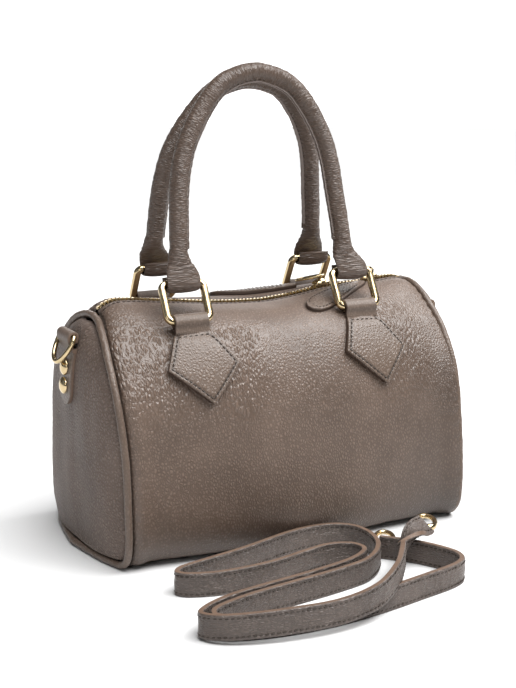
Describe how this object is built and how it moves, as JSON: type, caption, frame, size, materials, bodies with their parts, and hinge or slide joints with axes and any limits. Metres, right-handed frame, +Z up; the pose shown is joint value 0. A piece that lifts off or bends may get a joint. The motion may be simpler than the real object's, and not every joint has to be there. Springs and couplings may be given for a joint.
{
  "type": "leather handbag",
  "caption": "Small barrel-shaped taupe leather handbag with a zip top, rolled handles on gold rings, side D-rings and an unclipped shoulder strap lying in front of it.",
  "frame": {"origin": "on the surface it rests on, under the middle of the bag", "axes": "+X along the bag to its right end, -Y towards the front where the strap lies, +Z up"},
  "size_m": [0.2668, 0.2621, 0.2908],
  "materials": {
    "body_leather": "pebbled, soft sheen",
    "trim_leather": "pebbled, soft sheen, painted edges",
    "strap_leather": "wrinkled, tan painted edges",
    "zip_tape": "woven, matt",
    "gold": "polished"
  },
  "bodies": {
    "bag": {"body_panel": "body_leather", "end_panel_left": "body_leather", "end_panel_right": "body_leather", "piping_left": "trim_leather", "piping_right": "trim_leather", "side_tab_left": "trim_leather", "side_tab_right": "trim_leather", "chape_front_left": "trim_leather", "chape_front_right": "trim_leather", "chape_back_left": "trim_leather", "chape_back_right": "trim_leather", "zip_pull_left": "trim_leather", "zip_pull_right": "trim_leather", "strap": "strap_leather", "zip_tape_front": "zip_tape", "zip_tape_back": "zip_tape", "zip_teeth": "gold", "zip_slider_left": "gold", "zip_slider_right": "gold", "zip_link_left": "gold", "zip_link_right": "gold", "rivet_left_1": "gold", "rivet_left_2": "gold", "rivet_right_1": "gold", "rivet_right_2": "gold", "foot_front_left": "gold", "foot_front_right": "gold", "foot_back_left": "gold", "foot_back_right": "gold", "strap_hook_left": "gold", "strap_hook_right": "gold"},
    "rings_front": {"ring_front_left": "gold", "ring_front_right": "gold"},
    "handle_front": {"handle_front": "trim_leather"},
    "rings_back": {"ring_back_left": "gold", "ring_back_right": "gold"},
    "handle_back": {"handle_back": "trim_leather"},
    "d_ring_left": {"d_ring_left": "gold"},
    "d_ring_right": {"d_ring_right": "gold"}
  },
  "joints": [
    {"name": "rings_front_turn", "type": "hinge", "parent": "bag", "child": "rings_front", "pos_m": [0, -0.03926, 0.14179], "axis": [1, 0, 0], "range_deg": [0, 100]},
    {"name": "handle_front_turn", "type": "hinge", "parent": "rings_front", "child": "handle_front", "pos_m": [0, -0.02791, 0.16225], "axis": [1, 0, 0], "range_deg": [0, 65]},
    {"name": "rings_back_turn", "type": "hinge", "parent": "bag", "child": "rings_back", "pos_m": [0, 0.03689, 0.14375], "axis": [1, 0, 0], "range_deg": [-100, 0]},
    {"name": "handle_back_turn", "type": "hinge", "parent": "rings_back", "child": "handle_back", "pos_m": [0, 0.02555, 0.16422], "axis": [1, 0, 0], "range_deg": [-65, 0]},
    {"name": "d_ring_left_turn", "type": "hinge", "parent": "bag", "child": "d_ring_left", "pos_m": [-0.12565, 0, 0.13166], "axis": [0, 1, 0], "range_deg": [0, 178]},
    {"name": "d_ring_right_turn", "type": "hinge", "parent": "bag", "child": "d_ring_right", "pos_m": [0.12565, 0, 0.13166], "axis": [0, 1, 0], "range_deg": [0, 175]}
  ]
}
